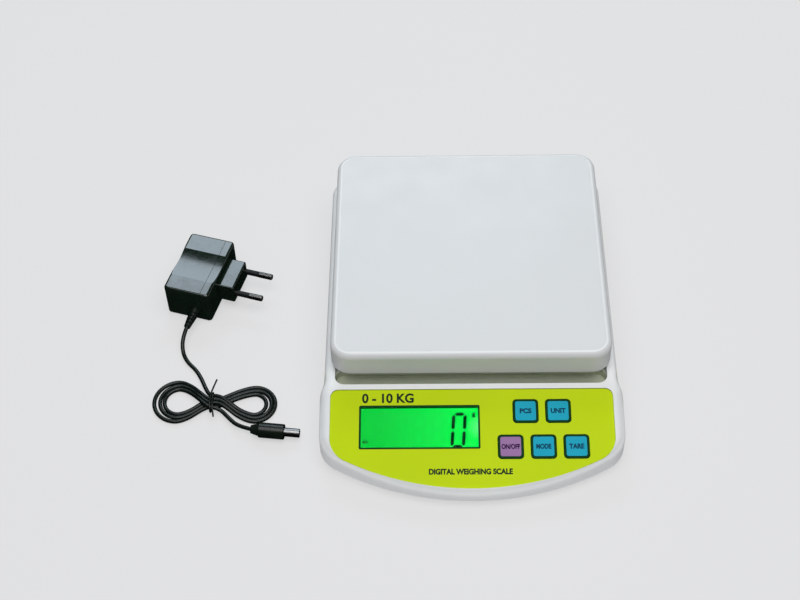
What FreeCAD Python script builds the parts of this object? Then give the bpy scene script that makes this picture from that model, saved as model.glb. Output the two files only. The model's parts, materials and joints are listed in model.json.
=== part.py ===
import FreeCAD, Part
import math
import os

# Digital kitchen and studio scale with its mains adapter, in millimetres.
# Origin: middle of the scale's footprint on the table. +Z up, +X to the user's right,
# -Y toward the user. The scale stands on four rubber feet and the adapter lies on its left.

V = FreeCAD.Vector
UP = V(0, 0, 1)
OUT = "parts"

# Base outline, seen from above
BASE_FRONT = -123.5
BASE_REAR = 121.8
PANEL_HALF = 92.6
DECK_HALF = 90.3
FRONT_ARC_R = 162.0
FRONT_CORNER_R = 20.0
REAR_CORNER_R = 12.0
STEP_FRONT = -61.5
STEP_REAR = -47.5

# Heights
FOOT_HEIGHT = 3.0
COVER_TOP = 5.5
HOUSING_BOTTOM = 5.0
COVER_INSET = 4.2
DECK_TOP = 28.5
DECK_FLOOR = 25.0
DECK_UNDER = 23.0
SCALE_HEIGHT = 50.0
WALL = 2.5
RIM_FILLET = 5.8
CREASE_R = 12.0

# Platform
PLATFORM = 171.8
PLATFORM_Y = 36.8
PLATFORM_BOTTOM = 32.2
PLATFORM_CORNER_R = 12.5
PLATFORM_EDGE_R = 4.0
PLATFORM_LIP_R = 0.8
PLATFORM_SKIN = 2.5
PLATFORM_TRAVEL = 0.4
RIB_OFFSETS = (-74.0, -56.0, 56.0, 74.0)
RIB_BOTTOM = 43.0
SUPPORT_TOP = 43.5
SUPPORT_REACH = 40.0
SUPPORT_SCREWS = [(-SUPPORT_REACH, -SUPPORT_REACH), (SUPPORT_REACH, -SUPPORT_REACH),
                  (-SUPPORT_REACH, SUPPORT_REACH), (SUPPORT_REACH, SUPPORT_REACH)]
SUPPORT_SCREW_R = 1.4

# Deck recess under the platform
RECESS_HALF = 83.5
RECESS_FRONT = -54.2
RECESS_REAR = 117.5
RECESS_CORNER_R = 8.0
GUTTER_CORNER_R = 6.0
GUTTER_REAR = -41.0
GUTTER_FLOOR = 19.5
GUTTER_WALL = 2.1
DECK_OPENING = 36.0

# Control panel: a plane that slopes down toward the user from the line y = PANEL_Y, z = DECK_TOP.
# Panel drawings use u to the right, v down the slope and n out of the panel.
PANEL_Y = -57.5
PANEL_SLOPE = 13.0
PANEL_THICK = 3.1
RECESS_DEPTH = 1.3
OVERLAY_THICK = 0.5
OVERLAY_HALF = 86.0
OVERLAY_TOP = 0.5
OVERLAY_BOTTOM = 64.5
OVERLAY_ARC_R = 172.0
OVERLAY_CORNER_R = 16.0
OVERLAY_TOP_R = 5.0

# Display, as u from, u to, v from, v to
LCD = (-68.2, 4.9, 10.9, 39.2)
LCD_FRAME = 1.05
LCD_GLASS_TOP = -3.2
LCD_GLASS_BOTTOM = -4.9
BOARD_TOP = -8.2
BOARD_THICK = 1.6
BOARD = (-76.5, 72.0, 6.0, 43.0)
BOARD_SCREWS = [(-73.0, 25.0), (10.4, 25.0), (67.0, 14.0)]
BOARD_BOSS_R = 2.2
BOARD_SCREW_R = 1.05
CONNECTOR_U = {"gauge": -5.0, "battery": -36.0, "power": -60.0}
LEAD_D = 2.4

# Keys
KEY = 15.3
KEY_R = 2.3
KEY_LABEL = 12.4
KEY_LABEL_R = 1.3
KEY_GAP = 0.2
KEY_PROUD = 0.35
LABEL_DEPTH = 0.35
LABEL_PROUD = 0.12
SWITCH_TOP = -5.9
BUTTON_TOP = -5.45
KEY_ROWS = (15.1, 38.1)
KEYS = {
    "pcs": (32.6, KEY_ROWS[0]),
    "unit": (52.3, KEY_ROWS[0]),
    "on_off": (23.0, KEY_ROWS[1]),
    "mode": (42.7, KEY_ROWS[1]),
    "tare": (62.4, KEY_ROWS[1]),
}

# Load cell, a double-hole bending beam across the base
CELL_LENGTH = 75.0
CELL_WIDTH = 12.7
CELL_Z = (7.5, 18.5)
CELL_HOLE_X = 7.0
CELL_HOLE_R = 4.3
CELL_SLOT = 2.4
CELL_SCREW_X = (-32.0, -18.0)
GAUGE_THICK = 0.4
PLATE_Z = (19.5, 21.5)
SCREW_R = 2.0
CELL_HEAD_R = 3.5
PILLAR_SCREW_X = (-6.0, 6.0)
PILLAR_HEAD_R = 2.4
PILLAR_HEAD = 0.9

# Battery compartment: two AA cells side by side
BATTERY_HALF = 29.5
BATTERY_Y = (72.0, 104.0)
BATTERY_CEILING = 21.0
BATTERY_R = 7.1
BATTERY_LENGTH = 50.0
BATTERY_Z = 13.2
BATTERY_WALL = 1.6

# Battery door: a plate in the bottom cover that swings down about pins at its front edge
DOOR_THICK = 1.8
DOOR_GAP = 0.3
HINGE_PIN_R = 1.0
HINGE_BARREL_R = 1.9
HINGE_Y = BATTERY_Y[0] + HINGE_BARREL_R + DOOR_GAP
HINGE_Z = FOOT_HEIGHT + HINGE_BARREL_R
LATCH_HALF = 5.0

# Feet, housing screws and socket
FEET = [(-74.0, 104.0), (74.0, 104.0), (-74.0, -84.0), (74.0, -84.0)]
FOOT_R = 8.0
SCREWS = [(-82.0, 60.0), (82.0, 60.0), (-82.0, -30.0), (82.0, -30.0), (0.0, -106.0), (0.0, 111.5)]
BOSS_R = 3.6
SCREW_CORE_R = 1.3
SCREW_CLEAR_R = 1.75
SCREW_HEAD_R = 2.8
HEAD_FACE = FOOT_HEIGHT - 0.3
JACK_X = -58.0
JACK_HALF = 5.5
JACK_BACK = 1.5
JACK_Z = 14.5
JACK_HOLE_R = 4.2
JACK_BORE_R = 2.95
JACK_DEPTH = 10.5
JACK_MOUTH = BASE_REAR - WALL - 0.2

# Adapter: a runs along the pins, b along the body toward the scale's rear, z up
ADAPTER_X = -176.0
ADAPTER_Y = 46.9
ADAPTER_TURN = -16.5
ADAPTER_DEPTH = 31.0
ADAPTER_LENGTH = 50.0
ADAPTER_HEIGHT = 25.5
ADAPTER_SEAM = 6.0
BLOCK = (11.0, 24.4, 14.0)
BLOCK_B = 3.0
BLOCK_Z = 12.5
PIN_SPACING = 19.0
PIN_R = 2.0
PIN_LENGTH = 19.0
SLEEVE_R = 1.9
SLEEVE_LENGTH = 10.0
GRIP_DEPTH = 1.0
DIP_DEPTH = 0.55
DIP_R = 130.0
CASE_WALL = 2.0
RELIEF_A = 4.7
RELIEF_Z = 8.0
RELIEF_LENGTH = 14.0
RELIEF_NECK_R = 2.6

# Low-voltage cord and barrel plug
CORD_D = 2.6
PLUG_START = V(-136.0, -70.5, 4.9)
PLUG_TURN = -6.4
PLUG_R = 4.8
PLUG_LENGTH = 21.0
BARREL_R = 2.75
BARREL_BORE_R = 1.05
BARREL_LENGTH = 9.5
BARREL_ROOT = 8.0
BARREL_ROOT_R = 2.5
HANK_HEIGHT = 8.0

# Route of the cord from the adapter to the hank, and from the hank to the plug
ADAPTER_RUN = [
    V(-182.65, 8.15, 8.0), V(-184.9, 0.5, 6.6), V(-184.6, -8.2, 2.9), V(-181.0, -15.6, 1.6),
    V(-175.0, -21.6, 1.5), V(-170.6, -29.0, 1.6), V(-167.4, -37.0, 2.6), V(-163.6, -44.4, 4.0),
]
PLUG_RUN = [V(-156.5, -54.0, 3.2), V(-150.6, -60.6, 2.6), V(-144.4, -67.4, 3.8), V(-136.0, -70.5, 4.9)]


def box(x0, x1, y0, y1, z0, z1):
    return Part.makeBox(x1 - x0, y1 - y0, z1 - z0, V(x0, y0, z0))


def cyl(x, y, z0, z1, r):
    return Part.makeCylinder(r, z1 - z0, V(x, y, z0), UP)


def prism(wire, z0, z1):
    face = Part.Face(wire)
    face.translate(V(0, 0, z0))
    return face.extrude(V(0, 0, z1 - z0))


def rounded_rect(x0, x1, y0, y1, r):
    """Closed wire of a rectangle with round corners, at z = 0."""
    corners = [(x1 - r, y0 + r, 270), (x1 - r, y1 - r, 0), (x0 + r, y1 - r, 90), (x0 + r, y0 + r, 180)]
    arcs = [arc_about(x, y, r, start, start + 90) for x, y, start in corners]
    return close_with_lines(arcs)


def arc_about(x, y, r, start, end):
    """Arc from one angle to another about a centre, in degrees. A lower end angle runs clockwise."""
    points = []
    for angle in (start, (start + end) / 2.0, end):
        turn = math.radians(angle)
        points.append(V(x + r * math.cos(turn), y + r * math.sin(turn), 0))
    return Part.Arc(*points).toShape()


def close_with_lines(arcs):
    """Join a loop of arcs with straight edges where they don't already meet."""
    edges = []
    for index, arc in enumerate(arcs):
        following = arcs[(index + 1) % len(arcs)]
        edges.append(arc)
        gap_start = arc.valueAt(arc.LastParameter)
        gap_end = following.valueAt(following.FirstParameter)
        if gap_start.distanceToPoint(gap_end) > 0.001:
            edges.append(Part.LineSegment(gap_start, gap_end).toShape())
    return Part.Wire(edges)


def rounded_box(x0, x1, y0, y1, z0, z1, r):
    return prism(rounded_rect(x0, x1, y0, y1, r), z0, z1)


def fuse(shapes):
    whole = shapes[0].multiFuse(shapes[1:])
    return whole.removeSplitter()


def pick_edges(shape, test):
    return [edge for edge in shape.Edges if test(edge)]


def level_edges(shape, z):
    return pick_edges(shape, lambda e: abs(e.BoundBox.ZMin - z) < 0.01 and abs(e.BoundBox.ZMax - z) < 0.01)


def on_panel(shape):
    """Move a shape drawn with y = -v and z = n onto the sloping panel."""
    shape.rotate(V(0, 0, 0), V(1, 0, 0), PANEL_SLOPE)
    shape.translate(V(0, PANEL_Y, DECK_TOP))
    return shape


def panel_box(u0, u1, v0, v1, n0, n1, r):
    return on_panel(rounded_box(u0, u1, -v1, -v0, n0, n1, r))


def panel_cyl(u, v, n0, n1, r):
    return on_panel(cyl(u, -v, n0, n1, r))


def base_outline(inset):
    """Outline of the base: straight deck sides, a small outward step at the panel, and a bow front."""
    i = inset
    arc_y = BASE_FRONT + FRONT_ARC_R
    reach = FRONT_ARC_R - FRONT_CORNER_R
    corner_x = PANEL_HALF - FRONT_CORNER_R
    corner_y = arc_y - math.sqrt(reach**2 - corner_x**2)
    lean = math.degrees(math.asin(corner_x / reach))
    rise = PANEL_HALF - DECK_HALF
    run = STEP_REAR - STEP_FRONT
    turn = 2 * math.atan(rise / run)
    step_r = run / (2 * math.sin(turn))
    turn = math.degrees(turn)
    arcs = [
        arc_about(0, arc_y, FRONT_ARC_R - i, 270 - lean, 270 + lean),
        arc_about(corner_x, corner_y, FRONT_CORNER_R - i, 270 + lean, 360),
        arc_about(PANEL_HALF - step_r, STEP_FRONT, step_r - i, 0, turn),
        arc_about(DECK_HALF + step_r, STEP_REAR, step_r + i, 180 + turn, 180),
        arc_about(DECK_HALF - REAR_CORNER_R, BASE_REAR - REAR_CORNER_R, REAR_CORNER_R - i, 0, 90),
        arc_about(REAR_CORNER_R - DECK_HALF, BASE_REAR - REAR_CORNER_R, REAR_CORNER_R - i, 90, 180),
        arc_about(-DECK_HALF - step_r, STEP_REAR, step_r + i, 0, -turn),
        arc_about(step_r - PANEL_HALF, STEP_FRONT, step_r - i, 180 - turn, 180),
        arc_about(-corner_x, corner_y, FRONT_CORNER_R - i, 180, 270 - lean),
    ]
    return close_with_lines(arcs)


def overlay_outline(inset):
    """Outline of the printed panel in u and -v: straight top and sides, and a bow lower edge."""
    i = inset
    arc_v = OVERLAY_BOTTOM - OVERLAY_ARC_R
    reach = OVERLAY_ARC_R - OVERLAY_CORNER_R
    corner_u = OVERLAY_HALF - OVERLAY_CORNER_R
    corner_v = arc_v + math.sqrt(reach**2 - corner_u**2)
    lean = math.degrees(math.asin(corner_u / reach))
    top_u = OVERLAY_HALF - OVERLAY_TOP_R
    top_v = OVERLAY_TOP + OVERLAY_TOP_R
    arcs = [
        arc_about(0, -arc_v, OVERLAY_ARC_R - i, 270 - lean, 270 + lean),
        arc_about(corner_u, -corner_v, OVERLAY_CORNER_R - i, 270 + lean, 360),
        arc_about(top_u, -top_v, OVERLAY_TOP_R - i, 0, 90),
        arc_about(-top_u, -top_v, OVERLAY_TOP_R - i, 90, 180),
        arc_about(-corner_u, -corner_v, OVERLAY_CORNER_R - i, 180, 270 - lean),
    ]
    return close_with_lines(arcs)


def side_profile(points, half_width):
    """Solid of a side view, given as (y, z) points, across the whole width."""
    loop = [V(-half_width, y, z) for y, z in points]
    face = Part.Face(Part.makePolygon(loop + loop[:1]))
    return face.extrude(V(2 * half_width, 0, 0))


def panel_z(y, depth):
    """Height of the sloping panel, less a vertical depth."""
    return DECK_TOP - (PANEL_Y - y) * math.tan(math.radians(PANEL_SLOPE)) - depth


def top_housing():
    far_front = BASE_FRONT - 5
    far_rear = BASE_REAR + 5
    above = side_profile([
        (far_front, panel_z(far_front, 0)), (PANEL_Y, DECK_TOP), (far_rear, DECK_TOP),
        (far_rear, 60), (far_front, 60)], 110)
    body = prism(base_outline(0), HOUSING_BOTTOM, 40).cut(above)
    crease = pick_edges(body, crosses_crease)
    body = body.makeFillet(CREASE_R, crease)
    body = body.makeFillet(RIM_FILLET, pick_edges(body, is_rim))
    gutter_front = RECESS_FRONT - GUTTER_WALL
    gutter_rear = GUTTER_REAR + GUTTER_WALL
    gutter_under = GUTTER_FLOOR - GUTTER_WALL
    hollow = side_profile([
        (far_front, panel_z(far_front, PANEL_THICK + 0.1)),
        (gutter_front, panel_z(gutter_front, PANEL_THICK + 0.1)),
        (gutter_front, gutter_under), (gutter_rear, gutter_under), (gutter_rear, DECK_UNDER),
        (far_rear, DECK_UNDER), (far_rear, 0), (far_front, 0)], 110)
    cavity = prism(base_outline(WALL), 0, 40).common(hollow)
    cuts = [
        cavity,
        recess_box(RECESS_REAR, DECK_FLOOR, RECESS_CORNER_R),
        recess_box(GUTTER_REAR, GUTTER_FLOOR, GUTTER_CORNER_R),
        on_panel(prism(overlay_outline(0), -RECESS_DEPTH, 5)),
        panel_box(LCD[0] + 0.5, LCD[1] - 0.5, LCD[2] + 0.5, LCD[3] - 0.5, -6, 1, 0.6),
    ]
    for u, v in KEYS.values():
        half = KEY / 2 + KEY_GAP
        cuts.append(panel_box(u - half, u + half, v - half, v + half, -6, 1, KEY_R + KEY_GAP))
    opening = DECK_OPENING / 2
    cuts.append(rounded_box(-opening, opening, PLATFORM_Y - opening, PLATFORM_Y + opening, 10, 40, 6.0))
    cuts.append(Part.makeCylinder(JACK_HOLE_R, 12, V(JACK_X, BASE_REAR - 6, JACK_Z), V(0, 1, 0)))
    body = body.cut(Part.makeCompound(cuts))
    extras = [deck_collar()]
    for x, y in SCREWS:
        extras.append(screw_boss(x, y))
    for u, v in BOARD_SCREWS:
        boss = panel_cyl(u, v, BOARD_TOP, -PANEL_THICK + 0.2, BOARD_BOSS_R)
        extras.append(boss.cut(panel_cyl(u, v, BOARD_TOP - 1, -PANEL_THICK, BOARD_SCREW_R)))
    return fuse([body] + extras)


def recess_box(rear, floor, corner_r):
    """Pocket in the deck from the recess's front edge back to a line, down to a floor."""
    return rounded_box(-RECESS_HALF, RECESS_HALF, RECESS_FRONT, rear, floor, 40, corner_r)


def crosses_crease(edge):
    """True for the edge across the base where the flat deck turns into the sloping panel."""
    middle = edge.valueAt((edge.FirstParameter + edge.LastParameter) / 2.0)
    return abs(middle.y - PANEL_Y) < 0.01 and abs(middle.z - DECK_TOP) < 0.01 and abs(middle.x) < 1


def is_rim(edge):
    """True for an edge round the outside of the base's top, where the wall meets deck or panel."""
    box_ = edge.BoundBox
    level = box_.ZMin > HOUSING_BOTTOM + 0.5
    across = box_.YLength < CREASE_R and box_.XLength > 2 * DECK_HALF - 1 and box_.YMin > BASE_FRONT + 30
    across = across and box_.YMax < 0
    upright = box_.XLength < 0.01 and box_.YLength < 0.01
    return level and not across and not upright


def deck_collar():
    """Low splash collar round the opening in the deck."""
    inner = DECK_OPENING / 2
    outer = inner + 1.6
    y = PLATFORM_Y
    ring = rounded_box(-outer, outer, y - outer, y + outer, DECK_FLOOR - 0.5, DECK_FLOOR + 2.0, 7.6)
    return ring.cut(rounded_box(-inner, inner, y - inner, y + inner, DECK_FLOOR - 1, DECK_FLOOR + 3, 6.0))


def screw_boss(x, y):
    """Hollow pillar under the top housing that takes one housing screw."""
    top = DECK_UNDER + 0.5 if y > RECESS_FRONT else panel_z(y, PANEL_THICK - 0.5)
    boss = cyl(x, y, COVER_TOP + 0.1, top, BOSS_R)
    return boss.cut(cyl(x, y, COVER_TOP, top - 1.5, SCREW_CORE_R))


def bottom_cover():
    plate = prism(base_outline(COVER_INSET), FOOT_HEIGHT, COVER_TOP - 1.5)
    ledge = prism(base_outline(0.6), COVER_TOP - 1.5, COVER_TOP - 0.5)
    lip = prism(base_outline(WALL + 0.3), COVER_TOP - 1.0, COVER_TOP)
    rail = prism(base_outline(WALL + 0.3), COVER_TOP - 0.5, COVER_TOP + 2.5)
    rail = rail.cut(prism(base_outline(WALL + 1.7), COVER_TOP - 2, COVER_TOP + 4))
    y0, y1 = BATTERY_Y
    wall = BATTERY_WALL
    pocket_wall = box(-BATTERY_HALF - wall, BATTERY_HALF + wall, y0 - wall, y1 + wall,
                      FOOT_HEIGHT, BATTERY_CEILING + wall)
    tray = fuse([plate, ledge, lip, rail, pocket_wall, load_cell_seat()])
    pocket = box(-BATTERY_HALF, BATTERY_HALF, y0, y1, 0, BATTERY_CEILING)
    cuts = [pocket, door_latch_notch(), hinge_sockets()]
    for x, y in FEET:
        cuts.append(cyl(x, y, FOOT_HEIGHT - 1, FOOT_HEIGHT + 1.2, FOOT_R + 0.15))
    for x, y in SCREWS:
        cuts.append(cyl(x, y, 0, 12, SCREW_CLEAR_R))
        cuts.append(cyl(x, y, 0, FOOT_HEIGHT + 1.2, SCREW_HEAD_R + 0.2))
    for x in CELL_SCREW_X:
        cuts.append(cyl(x, PLATFORM_Y, 0, 12, SCREW_R + 0.15))
        cuts.append(cyl(x, PLATFORM_Y, 0, FOOT_HEIGHT + 1.4, CELL_HEAD_R + 0.2))
    return tray.cut(Part.makeCompound(cuts))


def load_cell_seat():
    """Raised pad on the bottom cover under the fixed end of the load cell."""
    y = PLATFORM_Y
    return box(-CELL_LENGTH / 2 - 1, -12, y - 9, y + 9, COVER_TOP - 1, CELL_Z[0] - 0.8)


def load_cell_shim():
    y = PLATFORM_Y
    half = CELL_WIDTH / 2
    shim = box(-CELL_LENGTH / 2, -13, y - half, y + half, CELL_Z[0] - 0.8, CELL_Z[0])
    for x in CELL_SCREW_X:
        shim = shim.cut(cyl(x, y, 0, 20, SCREW_R + 0.15))
    return shim


def load_cell():
    """Aluminium beam with the double hole that lets it bend like a parallelogram."""
    y = PLATFORM_Y
    half = CELL_WIDTH / 2
    z0, z1 = CELL_Z
    middle = (z0 + z1) / 2
    beam = box(-CELL_LENGTH / 2, CELL_LENGTH / 2, y - half, y + half, z0, z1)
    cuts = []
    for x in (-CELL_HOLE_X, CELL_HOLE_X):
        cuts.append(Part.makeCylinder(CELL_HOLE_R, CELL_WIDTH + 2, V(x, y - half - 1, middle), V(0, 1, 0)))
    cuts.append(box(-CELL_HOLE_X, CELL_HOLE_X, y - half - 1, y + half + 1,
                    middle - CELL_SLOT / 2, middle + CELL_SLOT / 2))
    for x in CELL_SCREW_X:
        cuts.append(cyl(x, y, z0 - 1, z1 + 1, SCREW_R + 0.05))
        cuts.append(cyl(-x, y, z0 - 1, z1 + 1, SCREW_R + 0.05))
    return beam.cut(Part.makeCompound(cuts))


def strain_gauges():
    """Two gauge patches with their white sealant, on the top and bottom of the beam."""
    y = PLATFORM_Y
    z0, z1 = CELL_Z
    top = rounded_box(-11, 11, y - 4.5, y + 4.5, z1, z1 + GAUGE_THICK, 2.0)
    bottom = rounded_box(-11, 11, y - 4.5, y + 4.5, z0 - GAUGE_THICK, z0, 2.0)
    return Part.makeCompound([top, bottom])


def headed_screw(x, y, head_z, head_h, head_r, tip_z, shank_r):
    """Pan-head screw with a cross recess; its head faces down when tip_z is above head_z."""
    up = 1 if tip_z > head_z else -1
    head = cyl(x, y, min(head_z, head_z + up * head_h), max(head_z, head_z + up * head_h), head_r)
    shank = cyl(x, y, min(head_z + up * head_h, tip_z), max(head_z + up * head_h, tip_z), shank_r)
    arm = head_r * 0.55
    slot_low, slot_high = sorted((head_z - up * 1.0, head_z + up * head_h * 0.45))
    cross = fuse([box(x - arm, x + arm, y - 0.35, y + 0.35, slot_low, slot_high),
                  box(x - 0.35, x + 0.35, y - arm, y + arm, slot_low, slot_high)])
    return fuse([head, shank]).cut(cross)


def housing_screws():
    found = []
    tip = COVER_TOP + 5.5
    for x, y in SCREWS:
        found.append(headed_screw(x, y, HEAD_FACE, 1.5, SCREW_HEAD_R, tip, SCREW_CORE_R - 0.05))
    return Part.makeCompound(found)


def load_cell_screws():
    found = []
    tip = CELL_Z[1] - 2
    for x in CELL_SCREW_X:
        found.append(headed_screw(x, PLATFORM_Y, HEAD_FACE, 1.7, CELL_HEAD_R, tip, SCREW_R))
    return Part.makeCompound(found)


def overload_stop_screw():
    """Set screw in the bottom cover that stops the free end of the load cell."""
    return cyl(30.0, PLATFORM_Y, COVER_TOP, CELL_Z[0] - PLATFORM_TRAVEL - 0.1, 3.0)


def rubber_feet():
    found = []
    for x, y in FEET:
        foot = cyl(x, y, 0, FOOT_HEIGHT + 1.2, FOOT_R)
        foot = foot.makeFillet(1.2, level_edges(foot, 0))
        found.append(foot)
    return Part.makeCompound(found)


def battery_rows():
    y0, y1 = BATTERY_Y
    middle = (y0 + y1) / 2
    pitch = BATTERY_R + 0.5
    return [(middle - pitch, 1), (middle + pitch, -1)]


def battery_cells():
    """Two AA cells lying nose to tail, each with its raised positive cap."""
    found = []
    for y, side in battery_rows():
        start = V(-side * (BATTERY_LENGTH / 2 - 1.0) - side * 0.5, y, BATTERY_Z)
        along = V(side, 0, 0)
        can = Part.makeCylinder(BATTERY_R, BATTERY_LENGTH - 1.5, start, along)
        cap = Part.makeCylinder(2.7, 1.4, start + along * (BATTERY_LENGTH - 1.5), along)
        found.append(fuse([can, cap]))
    return Part.makeCompound(found)


def battery_contacts():
    """Flat positive plates and the link plate that carries both springs."""
    found = []
    for y, _ in battery_rows():
        for end in (-1, 1):
            x = end * (BATTERY_HALF - 0.4)
            found.append(box(x - 0.25, x + 0.25, y - 5, y + 5, BATTERY_Z - 5, BATTERY_Z + 5))
    return Part.makeCompound(found)


def battery_springs():
    """Conical negative springs, each as its own stepped cone outline."""
    found = []
    for y, side in battery_rows():
        start = V(-side * (BATTERY_HALF - 0.65), y, BATTERY_Z)
        length = (BATTERY_HALF - 0.65) - (BATTERY_LENGTH / 2 - 1.0) - 0.5
        found.append(Part.makeCone(4.6, 2.6, length, start, V(side, 0, 0)))
    return Part.makeCompound(found)


def hinge_sockets():
    """Sockets in the end walls of the compartment for the door's two hinge pins."""
    cuts = []
    for side in (-1, 1):
        start = V(side * (BATTERY_HALF - 1.0), HINGE_Y, HINGE_Z)
        cuts.append(Part.makeCylinder(HINGE_PIN_R + 0.05, 2.2, start, V(side, 0, 0)))
    return Part.makeCompound(cuts)


def door_latch_notch():
    """Notch in the compartment's rear wall, open below, that the door's hook snaps into."""
    half = LATCH_HALF + 1.2
    y1 = BATTERY_Y[1]
    return box(-half, half, y1 - 1, y1 + 1.3, FOOT_HEIGHT - 1, FOOT_HEIGHT + 5.6)


def battery_door():
    y1 = BATTERY_Y[1]
    half = BATTERY_HALF - DOOR_GAP
    plate = box(-half, half, HINGE_Y, y1 - DOOR_GAP, FOOT_HEIGHT, FOOT_HEIGHT + DOOR_THICK)
    barrel = Part.makeCylinder(HINGE_BARREL_R, 2 * half, V(-half, HINGE_Y, HINGE_Z), V(1, 0, 0))
    reach = BATTERY_HALF + 1.0
    pin = Part.makeCylinder(HINGE_PIN_R, 2 * reach, V(-reach, HINGE_Y, HINGE_Z), V(1, 0, 0))
    tongue = box(-LATCH_HALF, LATCH_HALF, y1 - 1.9, y1 - 0.7, FOOT_HEIGHT + 0.5, FOOT_HEIGHT + 5.0)
    hook = box(-LATCH_HALF, LATCH_HALF, y1 - 0.8, y1 + 0.5, FOOT_HEIGHT + 3.8, FOOT_HEIGHT + 5.0)
    door = fuse([plate, barrel, pin, tongue, hook])
    thumb = Part.makeCylinder(9.0, 3.0, V(0, y1 - 6.0, FOOT_HEIGHT - 2.2), UP)
    groove = [box(-8.0, 8.0, y - 0.4, y + 0.4, FOOT_HEIGHT - 1, FOOT_HEIGHT + 0.5)
              for y in (y1 - 17.0, y1 - 19.0, y1 - 21.0)]
    return door.cut(Part.makeCompound([thumb] + groove))


def dc_jack():
    """Barrel socket at the rear wall, open to the rear, with its centre contact."""
    half = JACK_HALF
    along = V(0, 1, 0)
    front = JACK_MOUTH - JACK_DEPTH - JACK_BACK
    body = box(JACK_X - half, JACK_X + half, front, JACK_MOUTH, JACK_Z - half, JACK_Z + half)
    collar = Part.makeCylinder(JACK_HOLE_R - 0.2, 2.2, V(JACK_X, JACK_MOUTH - 0.1, JACK_Z), along)
    bore_end = V(JACK_X, JACK_MOUTH - JACK_DEPTH, JACK_Z)
    bore = Part.makeCylinder(JACK_BORE_R, JACK_DEPTH + 2.5, bore_end, along)
    return fuse([body, collar]).cut(bore)


def dc_jack_pin():
    pin = Part.makeCylinder(0.95, JACK_DEPTH, V(JACK_X, JACK_MOUTH - JACK_DEPTH, JACK_Z), V(0, 1, 0))
    tip = pick_edges(pin, lambda e: abs(e.BoundBox.YMin - JACK_MOUTH) < 0.01 and e.Closed)
    return pin.makeFillet(0.4, tip)


def panel_overlay():
    sheet = on_panel(prism(overlay_outline(0.1), -RECESS_DEPTH, -RECESS_DEPTH + OVERLAY_THICK))
    cuts = [panel_box(LCD[0], LCD[1], LCD[2], LCD[3], -4, 2, 1.0)]
    for u, v in KEYS.values():
        half = KEY / 2 + KEY_GAP
        cuts.append(panel_box(u - half, u + half, v - half, v + half, -4, 2, KEY_R + KEY_GAP))
    return sheet.cut(Part.makeCompound(cuts))


def lcd_bezel():
    """Dark frame round the display: a thin flange on the panel and a sleeve through it."""
    u0, u1, v0, v1 = LCD
    flange = panel_box(u0, u1, v0, v1, -RECESS_DEPTH, -0.65, 1.0)
    sleeve = panel_box(u0 + 0.5, u1 - 0.5, v0 + 0.5, v1 - 0.5, LCD_GLASS_TOP, -RECESS_DEPTH + 0.1, 0.6)
    f = LCD_FRAME
    return fuse([flange, sleeve]).cut(panel_box(u0 + f, u1 - f, v0 + f, v1 - f, -6, 2, 0.5))


def lcd_inside(n0, n1, grow):
    u0, u1, v0, v1 = LCD
    f = LCD_FRAME - grow
    return panel_box(u0 + f, u1 - f, v0 + f, v1 - f, n0, n1, 0.5)


def lcd_window():
    return lcd_inside(-2.0, -0.9, 0.0)


def lcd_glass():
    return lcd_inside(LCD_GLASS_BOTTOM, LCD_GLASS_TOP, 2.4)


def lcd_backlight():
    return lcd_inside(BOARD_TOP, LCD_GLASS_BOTTOM, 1.8)


def main_board():
    u0, u1, v0, v1 = BOARD
    board = panel_box(u0, u1, v0, v1, BOARD_TOP - BOARD_THICK, BOARD_TOP, 2.0)
    holes = [panel_cyl(u, v, BOARD_TOP - 4, BOARD_TOP + 1, BOARD_SCREW_R + 0.2) for u, v in BOARD_SCREWS]
    return board.cut(Part.makeCompound(holes))


def board_screws():
    """Three small screws that hold the board up against the housing's bosses."""
    found = []
    under = BOARD_TOP - BOARD_THICK
    for u, v in BOARD_SCREWS:
        head = cyl(u, -v, under - 1.2, under, 2.1)
        shank = cyl(u, -v, under, -PANEL_THICK - 0.8, BOARD_SCREW_R - 0.05)
        found.append(on_panel(fuse([head, shank])))
    return Part.makeCompound(found)


def controller_chip():
    under = BOARD_TOP - BOARD_THICK
    return panel_box(-24.0, -12.0, 20.0, 32.0, under - 1.1, under, 1.5)


def tact_switches():
    found = []
    for u, v in KEYS.values():
        case = rounded_box(u - 3, u + 3, -v - 3, -v + 3, BOARD_TOP, SWITCH_TOP, 0.4)
        button = cyl(u, -v, SWITCH_TOP, BUTTON_TOP, 1.75)
        found.append(on_panel(fuse([case, button])))
    return Part.makeCompound(found)


def key_cap(u, v):
    """Dark rubber key: a square cap through the panel, a flange behind it and a stem over its switch."""
    half = KEY / 2
    top = -RECESS_DEPTH + OVERLAY_THICK + KEY_PROUD
    cap = rounded_box(u - half, u + half, -v - half, -v + half, -3.9, top, KEY_R)
    cap = cap.makeFillet(0.25, level_edges(cap, top))
    wide = half + 1.1
    flange = rounded_box(u - wide, u + wide, -v - wide, -v + wide, -4.3, -3.35, KEY_R + 1.1)
    stem = cyl(u, -v, BUTTON_TOP + 0.4, -4.2, 2.2)
    inlay = KEY_LABEL / 2
    seat = rounded_box(u - inlay, u + inlay, -v - inlay, -v + inlay, top - LABEL_DEPTH, top + 1, KEY_LABEL_R)
    return on_panel(fuse([cap, flange, stem]).cut(seat))


def key_label(u, v):
    inlay = KEY_LABEL / 2
    top = -RECESS_DEPTH + OVERLAY_THICK + KEY_PROUD
    low, high = top - LABEL_DEPTH, top + LABEL_PROUD
    return on_panel(rounded_box(u - inlay, u + inlay, -v - inlay, -v + inlay, low, high, KEY_LABEL_R))


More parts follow.
